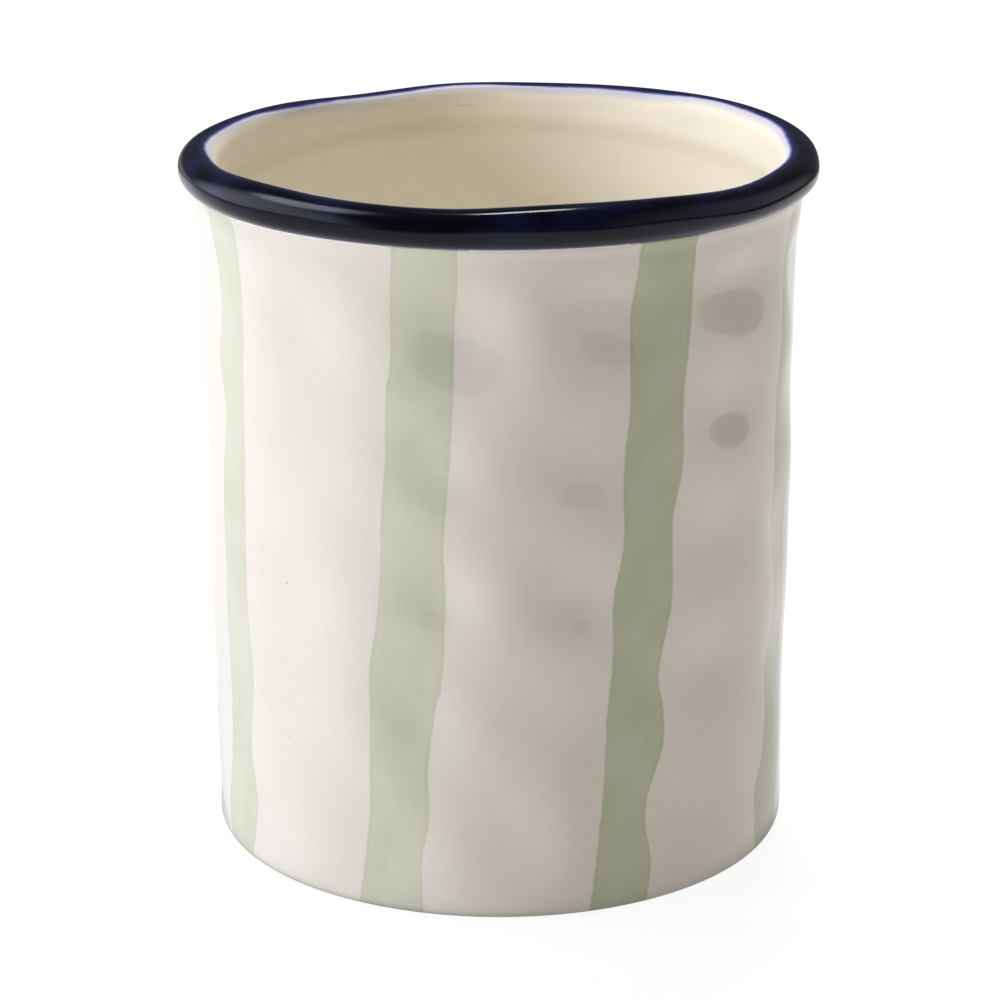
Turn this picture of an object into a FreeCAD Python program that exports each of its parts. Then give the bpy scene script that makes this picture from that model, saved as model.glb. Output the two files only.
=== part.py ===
"""Utensil crock: a hand-built stoneware jar with a rolled, wavy lip and eight brushed stripes.

Lengths are in millimetres. +Z is up, the origin is the middle of the foot on the surface that the
crock stands on, and -Y is the front. An azimuth is measured round +Z from +X, so the front is at 270.
Wall and base are stacks of rings, and lip and corner coil are closed sections carried round the crock.
A ring is given by a (radius, height) corner, and follows the out-of-round of the hand-made body.
"""
import FreeCAD, Part

import math
import os

# Body of the crock
CROCK_HEIGHT = 169.3        # foot to the mean height of the lip's crest
FOOT_DIAMETER = 140.0       # outside of the wall at the foot
SHOULDER_DIAMETER = 142.4   # outside of the wall's straight taper, at the seat of the lip
WALL_THICKNESS = 4.5
FOOT_ROUND = 2.4            # rounded outer edge that the crock stands on
FOOT_INNER_ROUND = 0.6
MOUTH_WOBBLE = 0.7          # out-of-round at the mouth, which dies away towards the foot
MOUTH_LOBE_SHARES = ((2, 0.6, 35.0), (3, 0.4, 80.0))    # lobes, share of the wobble, azimuth of a lobe

# Base and the coil that seals its corner
BASE_RECESS = 2.0           # the base's underside stands this far above the foot
BASE_THICKNESS = 6.0
CORNER_COIL_LEG = 6.0       # reach of the coil along the base and up the wall
CORNER_COIL_EDGE = 0.8      # thickness that the coil is smoothed out to

# Rolled lip
LIP_WIDTH = 9.0             # radial thickness of the coil
LIP_DEPTH = 9.0             # mean crest to the underside of the coil
LIP_FLARE = 0.9             # how far the wall spreads to meet the coil
LIP_FLARE_HEIGHT = 16.0
LIP_UNDERCUT = 0.6          # how far the inside of the wall falls back below the coil
LIP_UNDERCUT_HEIGHT = 8.0
CREST_WAVE = 1.0            # rise and fall of the hand-rolled crest
# Crest heights at equal steps round the mouth from azimuth 0, as shares of the wave
CREST_WAVE_SHARES = (0.1, 0.8, 1.1, 0.75, 0.35, 0.3, -0.8, -0.1, -0.1,
                     -0.2, -0.3, 0.4, -0.1, -0.3, 0.6, 0.3, -0.8, -0.45)

# Brushed stripes
STRIPE_WIDTH = 15.2
STRIPE_LEAN = 9.8           # sideways drift of a stripe from foot to lip
GLAZE_BUILD = 0.25          # height of the brushed coat above the wall
GLAZE_SEAT = 0.05           # clearance that keeps the coat's underside out of the wall
# Azimuth at half height and the share of the lean that each stripe has
STRIPE_PLACE_SHARES = ((208.0, 0.2), (253.2, 1.0), (297.8, 1.0), (341.5, 0.8),
                       (28.0, 0.2), (73.2, 1.0), (117.8, 1.0), (161.5, 0.8))
# Strokes that repeat in turn: how far the left and the right edge stand from the stroke's middle line,
# from lip to foot, as shares of half the width
STROKE_EDGE_SHARES = (
    ((1.20, 0.65, 0.80, 0.70, 0.75, 0.90, 0.80, 0.85, 1.10),
     (0.40, 1.05, 0.92, 0.85, 0.75, 0.85, 1.00, 0.85, 0.75)),
    ((1.05, 1.04, 1.07, 1.07, 0.96, 1.15, 1.07, 0.97, 1.18),
     (0.85, 0.95, 0.96, 1.04, 1.07, 1.08, 0.87, 1.06, 1.02)),
    ((0.92, 1.04, 0.92, 0.89, 1.04, 0.96, 0.87, 0.99, 1.05),
     (1.01, 0.99, 0.96, 0.87, 1.04, 0.87, 1.10, 0.78, 0.92)),
    ((0.95, 0.90, 0.92, 1.00, 0.95, 1.05, 1.00, 1.15, 1.05),
     (0.95, 1.00, 0.92, 0.95, 1.05, 0.90, 1.02, 0.95, 1.00)),
)

# Fineness of rounded stretches
FOOT_STEPS = 4
HEEL_STEPS = 2
HOLLOW_STEPS = 3
FLARE_STEPS = 2
LIP_STEPS = 12
STRIPE_STEPS = 12

# Sizes that follow from the ones above
FOOT_RADIUS = FOOT_DIAMETER / 2
SHOULDER_RADIUS = SHOULDER_DIAMETER / 2
LIP_UNDERSIDE = CROCK_HEIGHT - LIP_DEPTH
LIP_SEAT = CROCK_HEIGHT - LIP_DEPTH / 2
FLARE_START = LIP_UNDERSIDE - LIP_FLARE_HEIGHT
UNDERCUT_START = LIP_UNDERSIDE - LIP_UNDERCUT_HEIGHT
FLOOR_TOP = BASE_RECESS + BASE_THICKNESS
MOUTH_BORE = SHOULDER_RADIUS - WALL_THICKNESS
LEVEL_AZIMUTHS = [360.0 * step / len(CREST_WAVE_SHARES) for step in range(len(CREST_WAVE_SHARES))]


def polar(radius, azimuth, height):
    """Point at a radius and an azimuth in degrees."""
    turn = math.radians(azimuth)
    return FreeCAD.Vector(radius * math.cos(turn), radius * math.sin(turn), height)


def wobble(azimuth, height):
    """Out-of-round of the body at a height."""
    lobes = 0.0
    for count, share, crest in MOUTH_LOBE_SHARES:
        lobes += share * math.cos(count * math.radians(azimuth - crest))
    return MOUTH_WOBBLE * lobes * height / LIP_SEAT


def between(start, end, share):
    """Value a share of the way from start to end."""
    return start + (end - start) * share


def taper(height):
    """Outside radius of the wall's straight taper."""
    return between(FOOT_RADIUS, SHOULDER_RADIUS, height / LIP_SEAT)


def outside(height):
    """Outside radius of the wall, which flares below the lip along a hollow curve."""
    climb = max(height - FLARE_START, 0.0) / LIP_FLARE_HEIGHT
    return taper(height) + LIP_FLARE * climb ** 2


def bore(height):
    """Inside radius of the wall from the foot to the undercut."""
    undercut_bore = taper(UNDERCUT_START) - WALL_THICKNESS + LIP_UNDERCUT
    return between(FOOT_RADIUS - WALL_THICKNESS, undercut_bore, height / UNDERCUT_START)


def quarter_round(radius, height, reach, first_turn, steps):
    """Corners of a quarter round about a centre, from its first turn in degrees."""
    turns = [math.radians(first_turn + 90.0 * step / steps) for step in range(steps + 1)]
    return [(radius + reach * math.cos(turn), height + reach * math.sin(turn)) for turn in turns]


def closed_line(points):
    """Smooth closed line through points."""
    curve = Part.BSplineCurve()
    curve.interpolate(points, PeriodicFlag=True)
    return Part.Wire([curve.toShape()])


def ring(radius, height):
    """Level line round the crock, out of round as the body is."""
    return closed_line([polar(radius + wobble(turn, height), turn, height) for turn in LEVEL_AZIMUTHS])


def flare_heights():
    """Heights of the corners of the flare, from its start to the underside of the lip."""
    return [between(FLARE_START, LIP_UNDERSIDE, step / FLARE_STEPS) for step in range(FLARE_STEPS + 1)]


def stack(corners):
    """Solid with level ends through the rings at (radius, height) corners, from the lowest to the highest."""
    return Part.makeLoft([ring(radius, height) for radius, height in corners], True, True)


def carried_round(rings):
    """Solid of a closed section carried round the crock, given the line of each of its corners."""
    return Part.makeLoft(rings, True, True, True)


def crock_wall():
    """Wall with a rounded foot, a flare under the lip and a tongue that the lip is lapped over."""
    heel_middle = bore(FOOT_INNER_ROUND) + FOOT_INNER_ROUND
    heel = quarter_round(heel_middle, FOOT_INNER_ROUND, FOOT_INNER_ROUND, 180.0, HEEL_STEPS)
    foot = quarter_round(outside(FOOT_ROUND) - FOOT_ROUND, FOOT_ROUND, FOOT_ROUND, 270.0, FOOT_STEPS)
    flare = [(outside(height), height) for height in flare_heights()]
    undercut = [(bore(UNDERCUT_START), UNDERCUT_START), (MOUTH_BORE, LIP_UNDERSIDE)]
    hollow = stack(heel[::-1] + undercut + [(MOUTH_BORE, LIP_SEAT)])
    return stack(foot + flare + [(outside(LIP_UNDERSIDE), LIP_SEAT)]).cut(hollow)


def base_disc():
    """Base that fills the bore a little above the foot."""
    return stack([(bore(height), height) for height in (BASE_RECESS, FLOOR_TOP)])


def corner_coil():
    """Coil smoothed into the corner of wall and base, with a hollow face."""
    head = FLOOR_TOP + CORNER_COIL_LEG
    reach = CORNER_COIL_LEG - CORNER_COIL_EDGE
    toe = bore(FLOOR_TOP) - CORNER_COIL_LEG
    hollow = quarter_round(toe, head, reach, 270.0, HOLLOW_STEPS)
    section = [(toe, FLOOR_TOP)] + hollow + [(bore(head), head), (bore(FLOOR_TOP), FLOOR_TOP)]
    return carried_round([ring(radius, height) for radius, height in section])


def lip_line(section_turn):
    """Line along the lip at one turn of its section, where 0 is the outside and 90 the wavy crest."""
    points = []
    for azimuth, share in zip(LEVEL_AZIMUTHS, CREST_WAVE_SHARES):
        half_depth = (LIP_DEPTH + CREST_WAVE * share) / 2
        radius = MOUTH_BORE + (1 + math.cos(section_turn)) * LIP_WIDTH / 2
        height = LIP_UNDERSIDE + (1 + math.sin(section_turn)) * half_depth
        points.append(polar(radius + wobble(azimuth, LIP_SEAT), azimuth, height))
    return closed_line(points)


def lip_coil():
    """Rolled lip: a round coil that rises and falls, let over the tongue of the wall."""
    turns = [math.radians(270.0 * step / LIP_STEPS - 90.0) for step in range(1, LIP_STEPS)]
    skirt = outside(LIP_UNDERSIDE)
    tongue = [(MOUTH_BORE, LIP_SEAT), (skirt, LIP_SEAT), (skirt, LIP_UNDERSIDE)]
    rings = [lip_line(turn) for turn in turns] + [ring(radius, height) for radius, height in tongue]
    return carried_round(rings)


def edge_share(shares, fall):
    """Edge of a stroke at a fall from 0 at the lip to 1 at the foot, between its listed shares."""
    place = fall * (len(shares) - 1)
    index = min(int(place), len(shares) - 2)
    return between(shares[index], shares[index + 1], place - index)


def stripe_section(azimuth, lean, stroke, height):
    """Thin curved section of a stripe at a height, lying on the outside of the wall."""
    fall = (LIP_UNDERSIDE - height) / (LIP_UNDERSIDE - FOOT_ROUND)
    drift = lean * (0.5 - fall)
    left = drift - edge_share(stroke[0], fall) * STRIPE_WIDTH / 2
    right = drift + edge_share(stroke[1], fall) * STRIPE_WIDTH / 2
    wall = outside(height)
    turns = [azimuth + math.degrees(across / wall) for across in (left, (left + right) / 2, right)]
    inner = [polar(wall + wobble(turn, height) + GLAZE_SEAT, turn, height) for turn in turns]
    outer = [polar(wall + wobble(turn, height) + GLAZE_BUILD, turn, height) for turn in turns]
    edges = [
        Part.Arc(*inner).toShape(),
        Part.makeLine(inner[-1], outer[-1]),
        Part.Arc(*reversed(outer)).toShape(),
        Part.makeLine(outer[0], inner[0]),
    ]
    return Part.Wire(edges)


def sage_stripe(azimuth, lean_share, stroke):
    """One brushed stripe from the rounded foot up to the lip."""
    straight = [between(FOOT_ROUND, FLARE_START, step / STRIPE_STEPS) for step in range(STRIPE_STEPS)]
    heights = straight + flare_heights()
    sections = [stripe_section(azimuth, STRIPE_LEAN * lean_share, stroke, height) for height in heights]
    return Part.makeLoft(sections, True, True)


def main():
    """Build every piece and write it to its own file."""
    pieces = {
        "crock_wall": crock_wall(),
        "base_disc": base_disc(),
        "corner_coil": corner_coil(),
        "lip_coil": lip_coil(),
    }
    for index, (azimuth, lean_share) in enumerate(STRIPE_PLACE_SHARES):
        stroke = STROKE_EDGE_SHARES[index % len(STROKE_EDGE_SHARES)]
        pieces[f"sage_stripe_{index + 1}"] = sage_stripe(azimuth, lean_share, stroke)
    os.makedirs("parts", exist_ok=True)
    for name, shape in pieces.items():
        print(name, shape.isValid(), len(shape.Solids), round(shape.Volume, 1))
        shape.exportStep(f"parts/{name}.step")


main()
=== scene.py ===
"""Looks of the utensil crock: glazed wall, rolled lip, brushed stripes and floor, with camera and studio.

Lengths are in metres, written as millimetres times MM. +Z is up and -Y is the front. A bearing is an
angle in radians from the front, positive towards +X, and a place is the distance along the wall that
the bearing spans. A span holds the two values between which something changes.
"""
import logging
import math
from dataclasses import dataclass, field
from enum import Enum

import bmesh
import bpy
import numpy as np
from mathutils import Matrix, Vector


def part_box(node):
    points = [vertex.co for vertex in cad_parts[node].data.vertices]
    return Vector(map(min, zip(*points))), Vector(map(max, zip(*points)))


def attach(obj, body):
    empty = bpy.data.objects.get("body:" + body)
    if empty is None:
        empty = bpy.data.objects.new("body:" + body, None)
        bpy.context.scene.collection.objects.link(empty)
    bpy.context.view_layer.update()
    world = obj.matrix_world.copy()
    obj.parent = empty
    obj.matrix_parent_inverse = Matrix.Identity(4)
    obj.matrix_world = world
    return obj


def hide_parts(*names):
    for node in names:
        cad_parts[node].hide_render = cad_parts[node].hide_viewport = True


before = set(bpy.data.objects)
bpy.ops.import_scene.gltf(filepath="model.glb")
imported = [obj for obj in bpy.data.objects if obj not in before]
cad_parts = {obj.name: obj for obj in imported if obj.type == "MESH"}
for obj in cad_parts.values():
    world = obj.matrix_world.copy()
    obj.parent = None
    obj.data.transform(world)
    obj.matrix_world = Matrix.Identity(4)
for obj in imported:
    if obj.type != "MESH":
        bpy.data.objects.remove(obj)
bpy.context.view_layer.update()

MM = 0.001
TURN = 2 * math.pi
WHITE = (1.0, 1.0, 1.0, 1.0)
ROUND_STEPS = 360
MERGE_REACH = 0.001 * MM
GLAZE_IOR = 1.52
PLAIN_MIRROR = 0.5
REPEATS = 2
# Value of the under_lip mark where the lip is too far away to matter, in millimetres
FAR_BELOW_LIP = 50.0
LOG = logging.getLogger("utensil_crock")

Colour = tuple[float, ...]
Span = tuple[float, float]
Spot = tuple[float, float, float]
Line = tuple[tuple[float, float], ...]
Section = list[tuple[float, float]]
Inputs = dict[str | int, object]
Node = bpy.types.Node
Socket = bpy.types.NodeSocket
Tree = bpy.types.NodeTree
Mesh = bpy.types.Mesh
Material = bpy.types.Material
Piece = bpy.types.Object


class Slot(Enum):
    """Names of the white, navy and sage glaze finishes."""

    WHITE = "white_glaze"
    NAVY = "navy_glaze"
    SAGE = "sage_glaze"


class Mark(Enum):
    """Attributes that a mesh carries for its finish."""

    INSIDE = "inside"            # 1 on the cream inside of the crock, 0 outside
    UNDER_LIP = "under_lip"      # millimetres below the crease of the lip
    ABOVE_FOOT = "above_foot"    # millimetres above the edge where the glaze was wiped off
    NAVY = "navy"                # millimetres into the navy from its inner edge
    CREASE = "crease"            # millimetres along the lip from the crease
    EDGE = "edge"                # millimetres into a stroke from its nearer edge
    ACROSS = "across"            # millimetres across a stroke from its middle
    # The pool line is also where a painted shade band lies along the ledge inside
    POOL = "pool"                # millimetres above the line where the inside glaze pooled
    # Load is partly painted light: the strokes on the lamp-lit left are made paler
    LOAD_AND_PAINTED_LIGHT = "load"                # how much glaze a stroke's brush carried, from 0 to 1


def smooth_step(low: float, high: float, value: np.ndarray) -> np.ndarray:
    """Rise from 0 at low to 1 at high with level ends.

    Args:
        low: Value where the rise starts.
        high: Value where the rise ends.
        value: Values to look up.

    Returns:
        The share of the rise at each value.
    """
    share = np.clip((value - low) / (high - low), 0.0, 1.0)
    return share * share * (3.0 - 2.0 * share)


def closed_curve(values: tuple[float, ...], bearing: np.ndarray) -> np.ndarray:
    """Smooth closed curve through values at equal steps of bearing from 0.

    Args:
        values: Heights of the curve, one for each step.
        bearing: Bearings to look up, in radians.

    Returns:
        The curve at each bearing.
    """
    count = len(values)
    table = np.array(values)
    place = np.mod(bearing / TURN * count, count)
    index = np.floor(place).astype(int)
    t = place - index
    before, start, end, after = (table[(index + step) % count] for step in (-1, 0, 1, 2))
    bend = 2 * before - 5 * start + 4 * end - after
    twist = 3 * start - before - 3 * end + after
    return 0.5 * (2 * start + (end - before) * t + bend * t**2 + twist * t**3)


def brushed_line(points: Line, height: np.ndarray) -> np.ndarray:
    """Smooth line through (height, place) points.

    Args:
        points: Points of the line in any order, in millimetres.
        height: Heights to look up, in metres.

    Returns:
        The place of the line at each height, in metres.
    """
    heights, places = np.array(sorted(points)).T * MM
    slope = np.gradient(places, heights)
    index = np.clip(np.searchsorted(heights, height) - 1, 0, len(heights) - 2)
    span = heights[index + 1] - heights[index]
    t = np.clip((height - heights[index]) / span, 0.0, 1.0)
    start = places[index] * (1 + 2 * t) * (1 - t) ** 2 + slope[index] * span * t * (1 - t) ** 2
    end = places[index + 1] * (3 - 2 * t) * t**2 - slope[index + 1] * span * (1 - t) * t**2
    return start + end


@dataclass(frozen=True)
class FingerDents:
    """Shallow dents that the potter's fingers left round the wall, in columns that repeat round it."""

    depth: float = 1.7 * MM
    width: float = 7.4 * MM
    tall: float = 6.4 * MM
    slant: float = math.radians(-35.0)
    sway: float = 0.25 * MM
    sway_waves: int = 12
    sway_rise: float = 90.0 * MM
    # Place and height of each dent in millimetres, then its shares of the depth and of the size
    dents: tuple[tuple[float, float, float, float], ...] = (
        (-86, 136, 0.40, 1.2), (-88, 104, 0.40, 1.2), (-91, 73, 0.40, 1.2), (-95, 44, 0.35, 1.2),
        (-48, 138, 0.75, 1.1), (-50, 107, 0.80, 1.2), (-52, 76, 0.70, 1.1), (-57, 46, 0.70, 1.2),
        (-8, 142, 1.15, 1.2), (-16.5, 110.5, 1.20, 1.0), (-14, 79, 1.20, 0.92), (-20, 48, 1.20, 1.1),
        (27, 145, 0.95, 1.5), (18, 111, 1.20, 1.3), (19, 78, 1.20, 1.0), (3, 54, 0.70, 1.3),
        (64, 147, 1.20, 1.4), (57, 119, 0.85, 1.1), (57, 87, 1.15, 1.2), (54, 55, 1.15, 1.1),
        (64, 117, 0.50, 0.9), (12, 49, 0.70, 1.3),
        (98, 141, 0.60, 1.2), (95, 112, 0.65, 1.2), (92, 80, 0.65, 1.2), (88, 49, 0.60, 1.2),
        (-60, 16, 0.40, 1.0), (-24, 18, 0.50, 1.1), (3, 20, 0.50, 1.1), (46, 22, 0.50, 1.0),
    )

    def depth_at(self, place: np.ndarray, height: np.ndarray, girth: float) -> np.ndarray:
        """Depth of the dents.

        Args:
            place: Distance along the wall from the front.
            height: Height above the foot.
            girth: Distance round the wall.

        Returns:
            Depth below the plain wall at each point.
        """
        pitch = girth / REPEATS
        total = self.sway * np.sin(TURN * (self.sway_waves * place / girth + height / self.sway_rise))
        for centre, middle, depth, size in self.dents:
            along = np.mod(place - centre * MM + pitch / 2, pitch) - pitch / 2
            up = height - middle * MM
            across = (along * math.cos(self.slant) + up * math.sin(self.slant)) / (self.width * size)
            rise = (up * math.cos(self.slant) - along * math.sin(self.slant)) / (self.tall * size)
            total += self.depth * depth * np.exp(-0.5 * (across**2 + rise**2))
        return total


@dataclass(frozen=True)
class CrockForm:
    """Form of the hand-built body, shared by all its pieces."""

    foot_radius: float = 70.0 * MM
    shoulder_radius: float = 71.2 * MM
    wall_thickness: float = 4.5 * MM
    foot_round: float = 2.4 * MM
    heel_round: float = 0.6 * MM
    flare: float = 0.9 * MM
    flare_height: float = 16.0 * MM
    fillet: float = 0.8 * MM
    fillet_height: float = 3.5 * MM
    undercut: float = 0.9 * MM
    undercut_height: float = 8.0 * MM
    skirt_end: float = 155.0 * MM
    skirt_wave: float = 4.5 * MM
    seam_slope: float = 0.04
    seam_depth: float = 0.5 * MM
    wobble: float = 0.7 * MM
    # Number of lobes round the body, share of the wobble and bearing of a crest in degrees
    lobes: tuple[tuple[int, float, float], ...] = ((2, 0.6, 125.0), (3, 0.4, 170.0))
    wiped_height: float = 0.45 * MM
    foot_steps: int = 8
    heel_steps: int = 3
    wall_steps: int = 134
    close_end: float = 146.0 * MM
    close_steps: int = 36
    plain_steps: int = 50
    dents: FingerDents = field(default_factory=FingerDents)
    dents_low: Span = (0.0, 8.0 * MM)
    dents_high: Span = (146.0 * MM, 158.0 * MM)
    lip_underside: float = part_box("lip_coil")[0].z
    lip_seat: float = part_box("crock_wall")[1].z
    floor_low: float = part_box("base_disc")[0].z
    floor_top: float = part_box("base_disc")[1].z
    corner_head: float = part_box("corner_coil")[1].z

    @property
    def mouth_bore(self) -> float:
        """Inside radius under the lip."""
        return self.shoulder_radius - self.wall_thickness

    @property
    def girth(self) -> float:
        """Distance round the wall, at its mean radius."""
        return TURN * (self.foot_radius + self.shoulder_radius) / 2

    @property
    def inner_rows(self) -> np.ndarray:
        """Heights of the wall's inside from the top down, close together where the skirt runs out."""
        close = np.linspace(self.lip_seat, self.close_end, self.close_steps)
        return np.concatenate([close, np.linspace(self.close_end, self.heel_round, self.plain_steps)[1:]])

    @property
    def rows(self) -> np.ndarray:
        """Heights of the wall's outside, close together round the foot."""
        foot = self.foot_round * (1 - np.cos(np.linspace(0.0, math.pi / 2, self.foot_steps + 1)))
        return np.concatenate([foot, np.linspace(self.foot_round, self.lip_underside, self.wall_steps)[1:]])

    def out_of_round(self, bearing: np.ndarray, height: np.ndarray) -> np.ndarray:
        """How far the body stands out of a true circle at a bearing and height."""
        turned = [(share, count * (bearing - math.radians(crest))) for count, share, crest in self.lobes]
        return self.wobble * sum(share * np.cos(turn) for share, turn in turned) * height / self.lip_seat

    def taper(self, height: np.ndarray) -> np.ndarray:
        """Outside radius of the straight wall, before its foot and its flare are shaped."""
        return self.foot_radius + (self.shoulder_radius - self.foot_radius) * height / self.lip_seat

    def outside(self, height: np.ndarray) -> np.ndarray:
        """Outside radius of the plain wall, with its rounded foot and its flare under the lip.

        Args:
            height: Heights above the foot.

        Returns:
            The radius at each height.
        """
        below = self.lip_underside - height
        spread = self.flare * np.clip(1 - below / self.flare_height, 0.0, 1.0) ** 2
        spread = spread + self.fillet * np.clip(1 - below / self.fillet_height, 0.0, 1.0) ** 2
        drop = np.clip(self.foot_round - height, 0.0, self.foot_round)
        return self.taper(height) + spread - self.foot_round + np.sqrt(self.foot_round**2 - drop**2)

    def inside(self, height: np.ndarray) -> np.ndarray:
        """Inside radius of the plain wall, which falls back a little below the lip.

        Args:
            height: Heights above the foot.

        Returns:
            The radius at each height.
        """
        fall = 1 - smooth_step(self.lip_underside - self.undercut_height, self.lip_underside, height)
        back = self.undercut * fall * np.clip(height / self.lip_seat, 0.0, 1.0)
        return self.taper(height) - self.wall_thickness + back

    def skirt_line(self, bearing: np.ndarray) -> np.ndarray:
        """Height where the skirt of the lip runs out on the inside of the wall."""
        return self.skirt_end - self.skirt_wave * np.cos(bearing)

    def sunk(self, past: np.ndarray) -> np.ndarray:
        """How far the wall or the skirt dips under the other, by how far it reaches past the seam."""
        return np.clip(past * self.seam_slope, 0.0, self.seam_depth)

    def skin(self, bearing: np.ndarray, height: np.ndarray) -> np.ndarray:
        """Outside radius of the finished wall, dented and out of round.

        Args:
            bearing: Bearings round the wall.
            height: Heights above the foot.

        Returns:
            The radius at each point.
        """
        place = bearing * self.girth / TURN
        fade = smooth_step(*self.dents_low, height) * (1 - smooth_step(*self.dents_high, height))
        dents = self.dents.depth_at(place, height, self.girth) * fade
        return self.outside(height) + self.out_of_round(bearing, height) - dents


def arc(centre: Span, reach: float, start: float, end: float, steps: int) -> Section:
    """Corners of an arc in a section.

    Args:
        centre: Radius and height of the arc's centre.
        reach: Radius of the arc itself.
        start: First angle in degrees, 0 being outwards and 90 up.
        end: Last angle in degrees.
        steps: Number of straight steps.

    Returns:
        (radius, height) corners from start to end.
    """
    angles = np.radians(np.linspace(start, end, steps + 1))
    return [(centre[0] + reach * math.cos(a), centre[1] + reach * math.sin(a)) for a in angles]


def lathe(name: str, section: Section, closed: bool, steps: int = ROUND_STEPS) -> Mesh:
    """Mesh of a section spun round the crock's axis.

    Args:
        name: Name of the mesh.
        section: (radius, height) corners.
        closed: Whether the last corner joins the first.
        steps: Steps round the axis.

    Returns:
        The mesh, smooth and facing outwards.
    """
    shape = bmesh.new()
    corners = [shape.verts.new((radius, 0.0, height)) for radius, height in section]
    ends = corners[1:] + corners[:1] if closed else corners[1:]
    sides = [shape.edges.new(pair) for pair in zip(corners, ends)]
    bmesh.ops.spin(
        shape, geom=corners + sides, cent=(0, 0, 0), axis=(0, 0, 1), angle=TURN, steps=steps, use_merge=True
    )
    bmesh.ops.remove_doubles(shape, verts=shape.verts, dist=MERGE_REACH)
    bmesh.ops.recalc_face_normals(shape, faces=shape.faces)
    return finished_mesh(name, shape)


def finished_mesh(name: str, shape: bmesh.types.BMesh) -> Mesh:
    """Smooth mesh made from a bmesh, which is freed.

    Args:
        name: Name of the mesh.
        shape: The bmesh.

    Returns:
        The mesh.
    """
    for face in shape.faces:
        face.smooth = True
    mesh = bpy.data.meshes.new(name)
    shape.to_mesh(mesh)
    shape.free()
    return mesh


def points_of(mesh: Mesh) -> np.ndarray:
    """Vertices of a mesh, one row each."""
    flat = np.empty(len(mesh.vertices) * 3, np.float32)
    mesh.vertices.foreach_get("co", flat)
    return flat.reshape(-1, 3).astype(float)


def round_points_of(mesh: Mesh) -> tuple[np.ndarray, np.ndarray, np.ndarray]:
    """Bearings, radii and heights of a mesh's vertices."""
    x, y, height = points_of(mesh).T
    return np.arctan2(x, -y), np.hypot(x, y), height


def set_points(mesh: Mesh, bearing: np.ndarray, radius: np.ndarray, height: np.ndarray) -> None:
    """Move a mesh's vertices.

    Args:
        mesh: The mesh.
        bearing: New bearing of each vertex.
        radius: New distance of each vertex from the crock's axis.
        height: New height of each vertex.
    """
    points = np.stack([radius * np.sin(bearing), -radius * np.cos(bearing), height], axis=1)
    mesh.vertices.foreach_set("co", points.astype(np.float32).ravel())
    mesh.update()


def set_mark(mesh: Mesh, mark: Mark, values: np.ndarray) -> None:
    """Store a value for each vertex as an attribute."""
    layer = mesh.attributes.new(mark.value, "FLOAT", "POINT")
    layer.data.foreach_set("value", np.asarray(values, np.float32))


class Bench:
    """Adds and joins the nodes of one tree."""

    def __init__(self, tree: Tree) -> None:
        """Start on an empty tree."""
        self.tree = tree
        tree.nodes.clear()

    def add(self, kind: str, inputs: Inputs | None = None, **settings: object) -> Node:
        """Add a node.

        Args:
            kind: Type of the node, without its ShaderNode prefix.
            inputs: Value, or socket to link, for each input by name or number.
            settings: Properties of the node.

        Returns:
            The new node.
        """
        node = self.tree.nodes.new(kind if kind.startswith("Node") else "ShaderNode" + kind)
        for name, value in settings.items():
            setattr(node, name, value)
        for name, value in (inputs or {}).items():
            if isinstance(value, Socket):
                self.tree.links.new(value, node.inputs[name])
            else:
                node.inputs[name].default_value = value
        return node

    def math(self, operation: str, *values: object) -> Socket:
        """Result of a Math node on numbers or sockets."""
        return self.add("Math", dict(enumerate(values)), operation=operation).outputs[0]

    def vector(self, operation: str, *values: object) -> Node:
        """Vector Math node on vectors or sockets."""
        return self.add("VectorMath", dict(enumerate(values)), operation=operation)

    def ramp(
        self, value: object, low: float, high: float, first: object = 0.0, last: object = 1.0
    ) -> Socket:
        """Smooth change from first at low to last at high.

        Args:
            value: Number or socket that is looked up.
            low: Value where the change starts.
            high: Value where the change ends.
            first: Result at and below low.
            last: Result at and above high.

        Returns:
            The socket with the result.
        """
        inputs = {"Value": value, "From Min": low, "From Max": high, "To Min": first, "To Max": last}
        return self.add("MapRange", inputs, interpolation_type="SMOOTHSTEP").outputs["Result"]

    def between(self, share: object, first: object, second: object) -> Socket:
        """Value between two values."""
        return self.add("Mix", {0: share, 2: first, 3: second}).outputs[0]

    def blend(self, share: object, first: object, second: object, mode: str = "MIX") -> Socket:
        """Colour between two colours, or one laid over the other by another mode."""
        inputs = {"Factor": share, 6: first, 7: second}
        return self.add("Mix", inputs, data_type="RGBA", blend_type=mode).outputs[2]

    def noise(self, vector: object, scale: float, detail: float = 2.0) -> Socket:
        """Value of a noise pattern from 0 to 1."""
        return self.add("TexNoise", {"Vector": vector, "Scale": scale, "Detail": detail}).outputs["Fac"]

    def mark(self, mark: Mark) -> Socket:
        """Value of a mesh's attribute."""
        return self.add("Attribute", attribute_name=mark.value).outputs["Fac"]


def new_group(name: str, inputs: dict[str, str], outputs: dict[str, str]) -> tuple[Bench, Node, Node]:
    """Empty shader node group with named sockets.

    Args:
        name: Name of the group.
        inputs: Kind of each input socket, by its name.
        outputs: Kind of each output socket, by its name.

    Returns:
        The bench for the group's tree, its input node and its output node.
    """
    tree = bpy.data.node_groups.new(name, "ShaderNodeTree")
    for direction, sockets in (("INPUT", inputs), ("OUTPUT", outputs)):
        for socket, kind in sockets.items():
            tree.interface.new_socket(socket, in_out=direction, socket_type="NodeSocket" + kind)
    bench = Bench(tree)
    return bench, bench.add("NodeGroupInput"), bench.add("NodeGroupOutput")


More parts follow.
